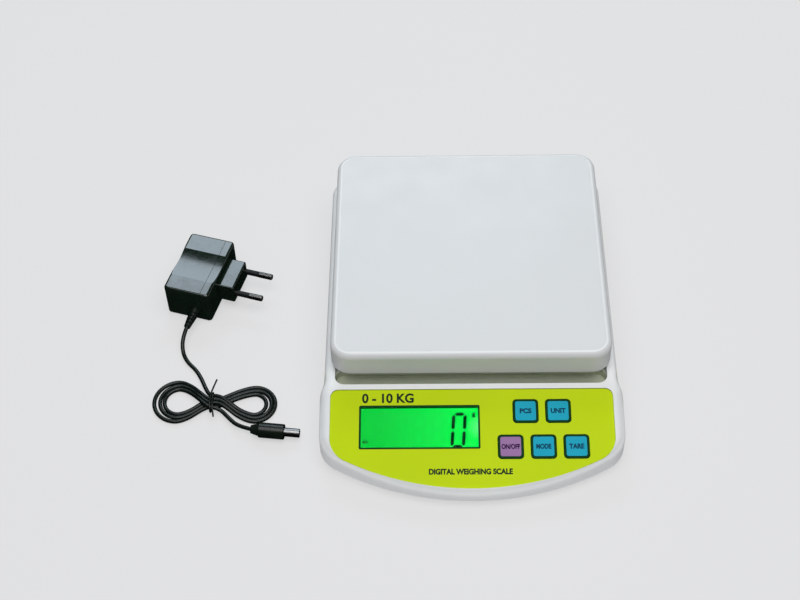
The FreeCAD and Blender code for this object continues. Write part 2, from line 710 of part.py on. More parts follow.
def platform_cover():
    """White tray: flat top, rounded upper edge and a skirt, hollow from below."""
    half = PLATFORM / 2
    y = PLATFORM_Y
    tray = rounded_box(-half, half, y - half, y + half, PLATFORM_BOTTOM, SCALE_HEIGHT, PLATFORM_CORNER_R)
    tray = tray.makeFillet(PLATFORM_EDGE_R, level_edges(tray, SCALE_HEIGHT))
    tray = tray.makeFillet(PLATFORM_LIP_R, level_edges(tray, PLATFORM_BOTTOM))
    inner = half - PLATFORM_SKIN
    under = SCALE_HEIGHT - PLATFORM_SKIN
    inner_r = PLATFORM_CORNER_R - PLATFORM_SKIN
    tray = tray.cut(rounded_box(-inner, inner, y - inner, y + inner, 20, under, inner_r))
    ribs = []
    for offset in RIB_OFFSETS:
        ribs.append(box(-inner, inner, y + offset - 0.7, y + offset + 0.7, RIB_BOTTOM, under + 0.2))
        ribs.append(box(offset - 0.7, offset + 0.7, y - inner, y + inner, RIB_BOTTOM, under + 0.2))
    for x, dy in SUPPORT_SCREWS:
        ribs.append(cyl(x, y + dy, SUPPORT_TOP, under + 0.2, 4.0))
    tray = fuse([tray] + ribs)
    cores = [cyl(x, y + dy, SUPPORT_TOP - 1, under - 0.8, SUPPORT_SCREW_R) for x, dy in SUPPORT_SCREWS]
    return tray.cut(Part.makeCompound(cores))


def platform_support():
    """X-shaped carrier under the tray: four arms, a hub and a hollow pillar through the deck."""
    y = PLATFORM_Y
    reach = SUPPORT_REACH * math.sqrt(2) + 6
    arms = []
    for angle in (45, 135):
        arm = box(-reach, reach, -6, 6, SUPPORT_TOP - 4, SUPPORT_TOP)
        rib = box(-reach + 10, reach - 10, -1.2, 1.2, SUPPORT_TOP - 8, SUPPORT_TOP - 3)
        for piece in (arm, rib):
            piece.rotate(V(0, 0, 0), UP, angle)
            piece.translate(V(0, y, 0))
            arms.append(piece)
    hub = cyl(0, y, SUPPORT_TOP - 8, SUPPORT_TOP, 17.0)
    pillar = rounded_box(-11, 11, y - 11, y + 11, PLATE_Z[1], SUPPORT_TOP - 4, 4.0)
    whole = fuse(arms + [hub, pillar])
    cuts = [rounded_box(-8.5, 8.5, y - 8.5, y + 8.5, PLATE_Z[1] + 3, SUPPORT_TOP - 4, 2.5)]
    for x, dy in SUPPORT_SCREWS:
        cuts.append(cyl(x, y + dy, 20, 60, SUPPORT_SCREW_R + 0.3))
    for x in PILLAR_SCREW_X:
        cuts.append(cyl(x, y, 10, PLATE_Z[1] + 2.4, SUPPORT_SCREW_R))
    return whole.cut(Part.makeCompound(cuts))


def load_plate():
    """Steel plate that carries the support and is bolted to the free end of the load cell."""
    y = PLATFORM_Y
    plate = rounded_box(-14, 37, y - 14, y + 14, PLATE_Z[0], PLATE_Z[1], 3.0)
    cuts = [cyl(-x, y, 10, 30, SCREW_R + 0.2) for x in CELL_SCREW_X]
    cuts += [cyl(x, y, 10, 30, SUPPORT_SCREW_R + 0.25) for x in PILLAR_SCREW_X]
    cuts += [cyl(x, y, 10, PLATE_Z[0] + PILLAR_HEAD, PILLAR_HEAD_R + 0.2) for x in PILLAR_SCREW_X]
    return plate.cut(Part.makeCompound(cuts))


def load_plate_spacer():
    y = PLATFORM_Y
    pad = box(13, 37, y - 6.3, y + 6.3, CELL_Z[1], PLATE_Z[0])
    for x in CELL_SCREW_X:
        pad = pad.cut(cyl(-x, y, 10, 30, SCREW_R + 0.2))
    return pad


def load_plate_screws():
    """Two screws down into the load cell and two up into the support's pillar."""
    found = []
    for x in CELL_SCREW_X:
        found.append(headed_screw(-x, PLATFORM_Y, PLATE_Z[1] + 1.2, 1.2, 3.4, CELL_Z[0] + 2, SCREW_R))
    for x in PILLAR_SCREW_X:
        head = cyl(x, PLATFORM_Y, PLATE_Z[0], PLATE_Z[0] + PILLAR_HEAD, PILLAR_HEAD_R)
        shank = cyl(x, PLATFORM_Y, PLATE_Z[0] + PILLAR_HEAD, PLATE_Z[1] + 2.2, SUPPORT_SCREW_R - 0.05)
        found.append(fuse([head, shank]))
    return Part.makeCompound(found)


def platform_screws():
    """Four screws up through the support's arms into the tray."""
    found = []
    for x, dy in SUPPORT_SCREWS:
        low = SUPPORT_TOP - 4
        head = cyl(x, PLATFORM_Y + dy, low - 1.6, low, 2.8)
        shank = cyl(x, PLATFORM_Y + dy, low, SCALE_HEIGHT - PLATFORM_SKIN - 1.2, SUPPORT_SCREW_R - 0.05)
        found.append(fuse([head, shank]))
    return Part.makeCompound(found)


def tube(points, diameter, name):
    """Round cord along straight runs joined by tangent arcs as large as the runs allow."""
    edges = []
    here = points[0]
    radii = []
    for before, corner, after in zip(points, points[1:], points[2:]):
        back = (before - corner).normalize()
        ahead = (after - corner).normalize()
        turn = math.pi - back.getAngle(ahead)
        shorter = min(before.distanceToPoint(corner), after.distanceToPoint(corner))
        radius = 0.45 * shorter / math.tan(turn / 2)
        radii.append(round(radius, 1))
        start = corner + back * (0.45 * shorter)
        end = corner + ahead * (0.45 * shorter)
        bisector = (back + ahead).normalize()
        middle = corner + bisector * (radius / math.cos(turn / 2) - radius)
        edges.append(Part.LineSegment(here, start).toShape())
        edges.append(Part.Arc(start, middle, end).toShape())
        here = end
    edges.append(Part.LineSegment(here, points[-1]).toShape())
    path = Part.Wire(edges)
    section = Part.Wire(Part.Circle(points[0], points[1] - points[0], diameter / 2).toShape())
    solid = path.makePipeShell([section], True, True)
    expected = math.pi * (diameter / 2) ** 2 * path.Length
    ratio = round(solid.Volume / expected, 4)
    print(name, "length", round(path.Length, 1), "radii", radii, "volume ratio", ratio)
    return solid


def board_connectors():
    """White plug-in connectors under the board, one for each internal lead."""
    under = BOARD_TOP - BOARD_THICK
    found = [panel_box(u - 4, u + 4, 8.0, 14.0, under - 4.2, under, 0.5) for u in CONNECTOR_U.values()]
    return Part.makeCompound(found)


def gauge_lead():
    """Four-core lead from the load cell's gauges to the board."""
    points = [V(0, PLATFORM_Y - CELL_WIDTH / 2, 13.0), V(0, 18.0, 11.0), V(5.0, 2.0, 9.2),
              V(8.0, -16.0, 8.6), V(4.0, -34.0, 9.0), V(-2.0, -50.0, 11.2),
              V(CONNECTOR_U["gauge"], -63.0, 14.0)]
    return tube(points, LEAD_D, "gauge_lead")


def battery_lead():
    """Two-core lead from the side of the battery box to the board."""
    wall_x = -BATTERY_HALF - BATTERY_WALL
    points = [V(wall_x, 84.0, 12.0), V(wall_x - 8.0, 82.0, 10.6), V(-47.0, 74.0, 9.2), V(-50.0, 58.0, 8.6),
              V(-49.0, 38.0, 8.6), V(-46.0, 16.0, 8.6), V(-43.0, -8.0, 8.6), V(-40.0, -32.0, 9.0),
              V(-38.0, -50.0, 11.2), V(CONNECTOR_U["battery"], -63.0, 14.0)]
    return tube(points, LEAD_D, "battery_lead")


def power_lead():
    """Two-core lead from the back of the socket to the board."""
    points = [V(JACK_X, BASE_REAR - WALL - 12.2, 13.0), V(JACK_X - 1.5, 97.0, 11.4), V(-64.0, 80.0, 9.2),
              V(-66.0, 58.0, 8.6), V(-65.0, 32.0, 8.6), V(-62.0, 6.0, 8.6), V(-63.0, -18.0, 8.6),
              V(-62.5, -38.0, 9.6), V(-61.0, -52.0, 11.6), V(CONNECTOR_U["power"], -63.0, 14.0)]
    return tube(points, LEAD_D, "power_lead")


def on_adapter(shape):
    """Move a shape drawn about the adapter's own centre to where the adapter lies."""
    shape.rotate(V(0, 0, 0), UP, ADAPTER_TURN)
    shape.translate(V(ADAPTER_X, ADAPTER_Y, 0))
    return shape


def adapter_block():
    """Outer form of the adapter's case: a rounded block with a shallow grip hollow on its back and top."""
    half_a = ADAPTER_DEPTH / 2
    half_b = ADAPTER_LENGTH / 2
    block = rounded_box(-half_a, half_a, -half_b, half_b, 0, ADAPTER_HEIGHT, 2.5)
    block = block.makeFillet(1.6, level_edges(block, ADAPTER_HEIGHT))
    block = block.makeFillet(1.6, level_edges(block, 0))
    grip_r = 90.0
    grip = cyl(-half_a - grip_r + GRIP_DEPTH, 2.0, -5, 40, grip_r)
    dip = Part.makeCylinder(DIP_R, 60, V(-30, -1.0, ADAPTER_HEIGHT + DIP_R - DIP_DEPTH), V(1, 0, 0))
    return block.cut(grip).cut(dip)


def adapter_hollow():
    half_a = ADAPTER_DEPTH / 2 - CASE_WALL - 0.4
    half_b = ADAPTER_LENGTH / 2 - CASE_WALL
    top = ADAPTER_HEIGHT - CASE_WALL - 0.8
    return rounded_box(-half_a + 1.0, half_a, -half_b, half_b, CASE_WALL, top, 1.2)


def adapter_rear_case():
    seam = ADAPTER_DEPTH / 2 - ADAPTER_SEAM
    shell = adapter_block().cut(adapter_hollow())
    shell = shell.common(box(-40, seam, -60, 60, -5, 60))
    gland = Part.makeCylinder(RELIEF_NECK_R, 8, V(RELIEF_A, -ADAPTER_LENGTH / 2 - 3, RELIEF_Z), V(0, 1, 0))
    return on_adapter(shell.cut(gland))


def adapter_front_case():
    seam = ADAPTER_DEPTH / 2 - ADAPTER_SEAM
    shell = adapter_block().cut(adapter_hollow())
    shell = shell.common(box(seam + 0.25, 40, -60, 60, -5, 60))
    depth, width, height = BLOCK
    z = BLOCK_Z
    front = ADAPTER_DEPTH / 2
    nose = rounded_box(front - 1, front + depth, BLOCK_B - width / 2, BLOCK_B + width / 2,
                       z - height / 2, z + height / 2, 1.0)
    nose = nose.makeFillet(1.0, level_edges(nose, z + height / 2) + level_edges(nose, z - height / 2))
    whole = fuse([shell, nose])
    for side in (-1, 1):
        b = BLOCK_B + side * PIN_SPACING / 2
        whole = whole.cut(Part.makeCylinder(SLEEVE_R + 0.15, 30, V(front - 3, b, z), V(1, 0, 0)))
    return on_adapter(whole)


def adapter_pins():
    """Two round steel pins with chamfered tips, each thinner where its sleeve sits."""
    found = []
    root = ADAPTER_DEPTH / 2 + BLOCK[0]
    z = BLOCK_Z
    for side in (-1, 1):
        b = BLOCK_B + side * PIN_SPACING / 2
        inside = BLOCK[0] + 5
        core = Part.makeCylinder(PIN_R - 0.4, SLEEVE_LENGTH + inside, V(root - inside, b, z), V(1, 0, 0))
        tip = Part.makeCylinder(PIN_R, PIN_LENGTH - SLEEVE_LENGTH, V(root + SLEEVE_LENGTH, b, z), V(1, 0, 0))
        end = root + PIN_LENGTH
        rim = pick_edges(tip, lambda e: e.Closed and abs(e.BoundBox.XMin - end) < 0.01)
        tip = tip.makeFillet(0.9, rim)
        found.append(on_adapter(fuse([core, tip])))
    return Part.makeCompound(found)


def adapter_pin_sleeves():
    found = []
    root = ADAPTER_DEPTH / 2 + BLOCK[0]
    for side in (-1, 1):
        start = V(root - BLOCK[0], BLOCK_B + side * PIN_SPACING / 2, BLOCK_Z)
        sleeve = Part.makeCylinder(SLEEVE_R, SLEEVE_LENGTH + BLOCK[0], start, V(1, 0, 0))
        bore = Part.makeCylinder(PIN_R - 0.35, SLEEVE_LENGTH + BLOCK[0], start, V(1, 0, 0))
        found.append(on_adapter(sleeve.cut(bore)))
    return Part.makeCompound(found)


def adapter_board():
    return on_adapter(box(-8.0, 10.0, -19.0, 18.0, 5.4, 7.0))


def adapter_transformer():
    """Ferrite transformer and its winding on the adapter's board."""
    core = box(-6.0, 6.0, -2.0, 12.0, 7.0, 19.0)
    window = box(-7.0, 7.0, 1.0, 9.0, 10.0, 16.0)
    winding = box(-7.5, 7.5, 1.4, 8.6, 10.3, 15.7)
    return on_adapter(fuse([core.cut(window), winding]))


def adapter_capacitors():
    found = []
    for a, b in ((-2.0, -10.5), (6.0, -12.0)):
        found.append(on_adapter(cyl(a, b, 7.0, 18.0 - a, 3.4)))
    return Part.makeCompound(found)


def cord_strain_relief():
    """Tapered rubber sleeve with cut rings, from inside the case to the cord."""
    face = -ADAPTER_LENGTH / 2
    back = V(0, -1, 0)
    inside = V(RELIEF_A, face + CASE_WALL + 0.6, RELIEF_Z)
    root = Part.makeCylinder(RELIEF_NECK_R - 0.05, CASE_WALL + 1.6, inside, back)
    boot = Part.makeCone(3.5, 2.1, RELIEF_LENGTH, V(RELIEF_A, face - 0.05, RELIEF_Z), back)
    whole = fuse([root, boot])
    rings = []
    for step in range(4):
        y = face - 3.2 - step * 2.6
        groove = Part.makeCylinder(6.0, 0.9, V(RELIEF_A, y, RELIEF_Z), back)
        rings.append(groove.cut(Part.makeCylinder(2.55 - step * 0.22, 0.9, V(RELIEF_A, y, RELIEF_Z), back)))
    return on_adapter(whole.cut(Part.makeCompound(rings)))


def cord_hank():
    """Outer shape of the tied hank: two flat loops either side of a narrow waist."""
    left = ellipse_slab(-180.2, -47.2, 20.2, 17.2)
    right = ellipse_slab(-141.6, -49.6, 20.4, 15.2)
    waist = box(-170.0, -152.0, -54.4, -43.6, 0, HANK_HEIGHT)
    return fuse([left, right, waist])


def ellipse_slab(x, y, half_x, half_y):
    curve = Part.Ellipse(V(x, y, 0), half_x, half_y)
    return prism(Part.Wire(curve.toShape()), 0, HANK_HEIGHT)


def twist_tie():
    """Flat wire tie round the waist of the hank, with its two twisted ends."""
    x, y = -162.5, -49.0
    band = box(x - 1.2, x + 1.2, y - 6.2, y + 6.2, 0, HANK_HEIGHT + 0.8)
    band = band.cut(box(x - 2, x + 2, y - 5.4, y + 5.4, 0, HANK_HEIGHT))
    ends = []
    for side, reach in ((1, 7.5), (-1, 5.0)):
        start = V(x, y + side * 5.9, HANK_HEIGHT - 0.8)
        ends.append(Part.makeCylinder(0.8, reach, start, V(0.3, side, 0.25)))
    return fuse([band] + ends)


def on_plug(shape):
    """Move a shape drawn along +X from the origin onto the plug's axis."""
    shape.rotate(V(0, 0, 0), UP, PLUG_TURN)
    shape.translate(PLUG_START)
    return shape


def dc_plug_overmold():
    ahead = V(1, 0, 0)
    neck = Part.makeCone(2.6, 4.0, 5.0, V(0, 0, 0), ahead)
    grip = Part.makeCylinder(PLUG_R, PLUG_LENGTH - 5.0, V(5.0, 0, 0), ahead)
    grip = grip.makeFillet(0.6, [e for e in grip.Edges if e.Closed])
    whole = fuse([neck, grip])
    hole = Part.makeCylinder(BARREL_ROOT_R, BARREL_ROOT, V(PLUG_LENGTH - BARREL_ROOT, 0, 0), ahead)
    return on_plug(whole.cut(hole))


def dc_plug_barrel():
    ahead = V(1, 0, 0)
    root = Part.makeCylinder(BARREL_ROOT_R, BARREL_ROOT, V(PLUG_LENGTH - BARREL_ROOT, 0, 0), ahead)
    barrel = Part.makeCylinder(BARREL_R, BARREL_LENGTH, V(PLUG_LENGTH, 0, 0), ahead)
    bore = Part.makeCylinder(BARREL_BORE_R + 0.7, BARREL_LENGTH + 6.0, V(PLUG_LENGTH - 6.0, 0, 0), ahead)
    return on_plug(fuse([root, barrel]).cut(bore))


def dc_plug_insulator():
    ahead = V(1, 0, 0)
    sleeve = Part.makeCylinder(BARREL_BORE_R + 0.7, BARREL_LENGTH + 5.8, V(PLUG_LENGTH - 6.0, 0, 0), ahead)
    bore = Part.makeCylinder(BARREL_BORE_R, BARREL_LENGTH + 4.0, V(PLUG_LENGTH - 4.0, 0, 0), ahead)
    return on_plug(sleeve.cut(bore))


def write(name, shape):
    if not shape.isValid():
        print("NOT VALID", name)
    shape.exportStep(os.path.join(OUT, name + ".step"))
    print(name, len(shape.Solids), "solids", round(shape.Volume / 1000.0, 2), "cm3")


def main():
    os.makedirs("parts", exist_ok=True)
    builders = [
        top_housing, bottom_cover, panel_overlay, lcd_bezel, lcd_window, lcd_glass, lcd_backlight,
        main_board, board_screws, board_connectors, controller_chip, tact_switches, dc_jack, dc_jack_pin,
        load_cell, load_cell_shim, strain_gauges, load_cell_screws, overload_stop_screw,
        housing_screws, rubber_feet, battery_cells, battery_contacts, battery_springs, battery_door,
        gauge_lead, battery_lead, power_lead, platform_cover, platform_support,
        load_plate, load_plate_spacer, load_plate_screws, platform_screws,
        adapter_rear_case, adapter_front_case, adapter_pins, adapter_pin_sleeves, adapter_board,
        adapter_transformer, adapter_capacitors, cord_strain_relief, cord_hank, twist_tie,
        dc_plug_overmold, dc_plug_barrel, dc_plug_insulator,
    ]
    for build in builders:
        write(build.__name__, build())
    write("cord_adapter_run", tube(ADAPTER_RUN, CORD_D, "cord_adapter_run"))
    write("cord_plug_run", tube(PLUG_RUN, CORD_D, "cord_plug_run"))
    for name, (u, v) in KEYS.items():
        write("key_" + name, key_cap(u, v))
        write("key_" + name + "_label", key_label(u, v))


main()
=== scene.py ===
"""Looks of the digital scale and its mains adapter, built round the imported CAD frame. Metres, +Z up."""
import json
import math

import bmesh
import bpy
from mathutils import Matrix, Vector


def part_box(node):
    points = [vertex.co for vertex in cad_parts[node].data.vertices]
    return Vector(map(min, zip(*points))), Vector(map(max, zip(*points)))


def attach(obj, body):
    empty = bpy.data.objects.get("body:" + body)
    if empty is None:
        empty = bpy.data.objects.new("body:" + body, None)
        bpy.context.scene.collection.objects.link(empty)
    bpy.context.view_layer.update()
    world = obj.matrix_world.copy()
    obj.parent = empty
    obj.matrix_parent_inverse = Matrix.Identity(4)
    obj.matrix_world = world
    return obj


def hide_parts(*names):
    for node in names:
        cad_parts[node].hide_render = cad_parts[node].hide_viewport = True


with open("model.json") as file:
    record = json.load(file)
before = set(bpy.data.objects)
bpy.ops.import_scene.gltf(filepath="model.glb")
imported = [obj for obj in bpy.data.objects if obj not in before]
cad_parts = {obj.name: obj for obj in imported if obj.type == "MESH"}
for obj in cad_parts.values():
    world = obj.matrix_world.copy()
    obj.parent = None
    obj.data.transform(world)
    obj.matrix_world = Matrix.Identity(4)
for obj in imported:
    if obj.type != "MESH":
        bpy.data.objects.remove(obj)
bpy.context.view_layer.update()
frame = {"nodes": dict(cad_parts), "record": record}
NODES = frame["nodes"]
MM = 0.001

# The control panel: origin on the crease line, x to the right, y up the slope, z out of the panel
PANEL_CREASE = (0, -0.0575, 0.0285)
PANEL_SLOPE = 13
PANEL = Matrix.Translation(PANEL_CREASE) @ Matrix.Rotation(math.radians(PANEL_SLOPE), 4, "X")
# Heights out of the panel, in millimetres, of the faces that carry print: film, keys and display glass
FILM_TOP = -0.8
KEY_TOP = -0.33
GLASS_TOP = -3.2


def on_panel(u, v, n):
    """Point of the panel, in millimetres to the right, down the slope and out of it."""
    return PANEL @ Vector((u * MM, -v * MM, n * MM))


# ---------------------------------------------------------------- camera
CAMERA_TILT, CAMERA_YAW, CAMERA_ROLL = 50.4, 1.776, -1.82
CAMERA_TARGET = Vector((-0.0446, 0.0361, 0))
CAMERA_DISTANCE = 1.0236
CAMERA_LENS = 69.46
SENSOR_WIDTH = 36


def add_camera():
    """Camera that looks at its target from in front and above, rolled a little about its own axis."""
    tilt, yaw, roll = (math.radians(angle) for angle in (CAMERA_TILT, CAMERA_YAW, CAMERA_ROLL))
    back = Vector((math.sin(yaw) * math.cos(tilt), -math.cos(yaw) * math.cos(tilt), math.sin(tilt)))
    right = (-back).cross(Vector((0, 0, 1))).normalized()
    up = right.cross(-back)
    across = math.cos(roll) * right + math.sin(roll) * up
    upward = math.cos(roll) * up - math.sin(roll) * right
    turn = Matrix((across, upward, back)).transposed().to_4x4()
    data = bpy.data.cameras.new("camera")
    data.sensor_width = SENSOR_WIDTH
    data.lens = CAMERA_LENS
    data.clip_start = 0.01
    camera = bpy.data.objects.new("camera", data)
    camera.matrix_world = Matrix.Translation(CAMERA_TARGET + CAMERA_DISTANCE * back) @ turn
    bpy.context.scene.collection.objects.link(camera)
    bpy.context.scene.camera = camera


add_camera()


# ---------------------------------------------------------------- helpers for objects
def link(name, data, body, material):
    """Put a mesh or curve in the scene as a piece that rides on a body."""
    piece = bpy.data.objects.new(name, data)
    bpy.context.scene.collection.objects.link(piece)
    data.materials.append(material)
    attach(piece, body)
    return piece


def new_curve(name, radius, sides=4, caps=True):
    """Round strand of this radius in metres, with no splines yet."""
    curve = bpy.data.curves.new(name, "CURVE")
    curve.dimensions = "3D"
    curve.bevel_depth = radius
    curve.bevel_resolution = sides
    curve.use_fill_caps = caps
    return curve


def add_spline(curve, points, resolution=12):
    """One smooth open spline of the strand, with these control points in metres."""
    spline = curve.splines.new("NURBS")
    spline.points.add(len(points) - 1)
    for place, point in zip(spline.points, points):
        place.co = (*point, 1.0)
    spline.order_u = 3
    spline.use_endpoint_u = True
    spline.resolution_u = resolution
    return spline


# ---------------------------------------------------------------- helpers for materials
# Places of the colour sockets on a Mix node, whose number and vector sockets have the same names
COLOUR_A, COLOUR_B, COLOUR_RESULT = 6, 7, 2


def new_material(name):
    material = bpy.data.materials.new(name)
    material.use_nodes = True
    tree = material.node_tree
    shader = tree.nodes["Principled BSDF"]
    return material, tree, shader


def add(tree, kind, **inputs):
    node = tree.nodes.new(kind)
    for key, value in inputs.items():
        node.inputs[key.replace("_", " ")].default_value = value
    return node


def noise(tree, where, scale, detail=2.0, roughness=0.5):
    node = add(tree, "ShaderNodeTexNoise", Scale=scale, Detail=detail, Roughness=roughness)
    tree.links.new(where, node.inputs["Vector"])
    return node.outputs["Fac"]


def to_range(tree, value, low, high, from_low=0.3, from_high=0.7):
    node = tree.nodes.new("ShaderNodeMapRange")
    for key, number in (("From Min", from_low), ("From Max", from_high), ("To Min", low), ("To Max", high)):
        node.inputs[key].default_value = number
    tree.links.new(value, node.inputs["Value"])
    return node.outputs["Result"]


def split_vector(tree, vector):
    node = tree.nodes.new("ShaderNodeSeparateXYZ")
    tree.links.new(vector, node.inputs["Vector"])
    return node.outputs["X"], node.outputs["Y"], node.outputs["Z"]


def mix_colours(tree, share, first, second, blend="MIX"):
    """The first colour, blended with the second by the share. Each is a colour or a node's output."""
    node = tree.nodes.new("ShaderNodeMix")
    node.data_type = "RGBA"
    node.blend_type = blend
    tree.links.new(share, node.inputs["Factor"])
    for socket, colour in ((node.inputs[COLOUR_A], first), (node.inputs[COLOUR_B], second)):
        if isinstance(colour, tuple):
            socket.default_value = (*colour, 1)
        else:
            tree.links.new(colour, socket)
    return node.outputs[COLOUR_RESULT]


def shade(colour, amount):
    return tuple(min(1.0, channel * amount) for channel in colour)


COAT_ROUGHNESS = 0.08
SPECK_SCALE, SPECK_SHADE = 900, 0.55


def surface(name, colour, rough, vary, patch=25, grain=1500, relief=0.00002, rough_vary=0.06,
            metallic=0.0, coat=0.0, speck=0.0, specular=0.5):
    """Plastic, rubber or metal with colour drift, uneven gloss, a fine moulded grain and small specks.

    Vary is how far the colour drifts either way, as a share of it, and rough_vary is how far the
    roughness does. Patch and grain are the scales of their noise, about that many spots to the metre,
    and relief is the grain's height in metres.
    """
    material, tree, shader = new_material(name)
    where = tree.nodes.new("ShaderNodeTexCoord").outputs["Object"]
    drift = to_range(tree, noise(tree, where, patch, 3), 0, 1)
    tint = mix_colours(tree, drift, shade(colour, 1 - vary), shade(colour, 1 + vary))
    if speck:
        dots = to_range(tree, noise(tree, where, SPECK_SCALE, 1), 0, speck, 0.72, 0.80)
        tint = mix_colours(tree, dots, tint, shade(colour, SPECK_SHADE))
    tree.links.new(tint, shader.inputs["Base Color"])
    gloss = to_range(tree, noise(tree, where, patch * 4, 4), rough - rough_vary, rough + rough_vary)
    tree.links.new(gloss, shader.inputs["Roughness"])
    bump = add(tree, "ShaderNodeBump", Strength=1.0, Distance=relief)
    tree.links.new(noise(tree, where, grain, 3, 0.6), bump.inputs["Height"])
    tree.links.new(bump.outputs["Normal"], shader.inputs["Normal"])
    shader.inputs["Metallic"].default_value = metallic
    shader.inputs["Coat Weight"].default_value = coat
    shader.inputs["Coat Roughness"].default_value = COAT_ROUGHNESS
    shader.inputs["Specular IOR Level"].default_value = specular
    return material


# How much a surface mirrors: 0.5 is common plastic, and the printed film and keys mirror very little
MATT = 0.06
WHITE = (0.735, 0.748, 0.752)
DARK_KEY = (0.001, 0.040, 0.008)
INK = (0.012, 0.03, 0.012)

LOOKS = {
    # The tray and the base are one white plastic; the tray's copy is set darker as painted shade, so that
    # its brightly lit top is not too light
    "white_abs": surface("tray_white", shade(WHITE, 0.89), 0.42, 0.012, 12, 2200, 0.000012, speck=0.05),
    "white_abs_base": surface("base_white", shade(WHITE, 0.98), 0.46, 0.015, 14, 1800, 0.00002, speck=0.05),
    "lime_overlay": surface("lime_film", (0.505, 0.655, 0.0015), 0.36, 0.03, 16, 2600, 0.00001,
                            specular=MATT),
    "dark_bezel": surface("display_frame", DARK_KEY, 0.35, 0.15, 60, 2400, 0.00001, specular=MATT),
    "light_guide": surface("light_guide", (0.7, 0.75, 0.7), 0.3, 0.03),
    "board_green": surface("board_green", (0.01, 0.11, 0.035), 0.35, 0.25, 220, 900, 0.00003, coat=0.4),
    "ic_black": surface("component_black", (0.018, 0.018, 0.02), 0.45, 0.2, 120),
    "connector_white": surface("connector_white", (0.72, 0.70, 0.62), 0.4, 0.05, 60),
    "aluminium": surface("aluminium", (0.62, 0.63, 0.65), 0.32, 0.05, 80, 700, 0.00001, metallic=1.0),
    "steel_zinc": surface("zinc_steel", (0.50, 0.52, 0.55), 0.30, 0.10, 160, 900, 0.00001, metallic=1.0),
    "nickel": surface("nickel", (0.56, 0.55, 0.53), 0.22, 0.08, 160, 1200, 0.000006, metallic=1.0),
    "gauge_sealant": surface("gauge_sealant", (0.78, 0.78, 0.74), 0.5, 0.05, 200, 500, 0.00008),
    "grey_rubber": surface("foot_rubber", (0.055, 0.057, 0.06), 0.75, 0.2, 150, 1600, 0.00005),
    "cell_wrap": surface("cell_wrap", (0.03, 0.09, 0.20), 0.25, 0.1, 60, coat=0.5),
    "lead_grey": surface("lead_grey", (0.30, 0.31, 0.33), 0.45, 0.1, 200),
    "adapter_black": surface("adapter_black", (0.007, 0.014, 0.009), 0.12, 0.2, 40, 1200, 0.000003, 0.03,
                             specular=0.9),
    "sleeve_black": surface("sleeve_black", (0.006, 0.008, 0.007), 0.35, 0.2, 150, specular=0.28),
    "ferrite": surface("ferrite", (0.05, 0.045, 0.045), 0.6, 0.2, 200, 800, 0.00005),
    "cord_black": surface("cord_black", (0.005, 0.009, 0.006), 0.30, 0.25, 120, 1400, 0.00001,
                          specular=0.36),
    "insulator_black": surface("insulator_black", (0.012, 0.012, 0.012), 0.5, 0.2, 200),
    "key_rubber": surface("key_rubber", DARK_KEY, 0.5, 0.2, 120, 1800, 0.00002, specular=MATT),
    "key_blue": surface("key_blue", (0.010, 0.355, 0.500), 0.38, 0.05, 60, 2400, 0.00001, specular=MATT),
    "key_purple": surface("key_purple", (0.310, 0.165, 0.345), 0.38, 0.05, 60, 2400, 0.00001,
                          specular=MATT),
}


# Set far below acrylic's 1.49, so that the window mirrors almost nothing and the display stays clear
WINDOW_IOR = 1.07


def window_look():
    """Clear window with faint wipe marks in its gloss."""
    material, tree, shader = new_material("clear_window")
    where = tree.nodes.new("ShaderNodeTexCoord").outputs["Object"]
    gloss = to_range(tree, noise(tree, where, 90, 4), 0.02, 0.06)
    tree.links.new(gloss, shader.inputs["Roughness"])
    tint = mix_colours(tree, noise(tree, where, 30), (0.93, 0.98, 0.94), (0.97, 1.0, 0.97))
    tree.links.new(tint, shader.inputs["Base Color"])
    shader.inputs["Transmission Weight"].default_value = 1.0
    shader.inputs["IOR"].default_value = WINDOW_IOR
    return material


# A painted reflection, a pale glow near the display's right end: its brightest spot, and how far from its
# middle the glow falls off
PAINTED_REFLECTION_SPOT = on_panel(5.5, 24.5, GLASS_TOP)
PAINTED_REFLECTION_CORE, PAINTED_REFLECTION_REACH = 0.5 * MM, 8.5 * MM
PAINTED_REFLECTION_STRENGTH = 0.30
# How much of the glass at its left end has the dimmest colour
LEFT_MARGIN = 12 * MM
DIM_GREEN, BRIGHT_GREEN, STREAK_GREEN = (0.001, 0.600, 0.042), (0.001, 0.97, 0.082), (0.001, 0.50, 0.035)
# Colour of the painted reflection on the display
PAINTED_REFLECTION_GREEN = (0.42, 1.0, 0.66)


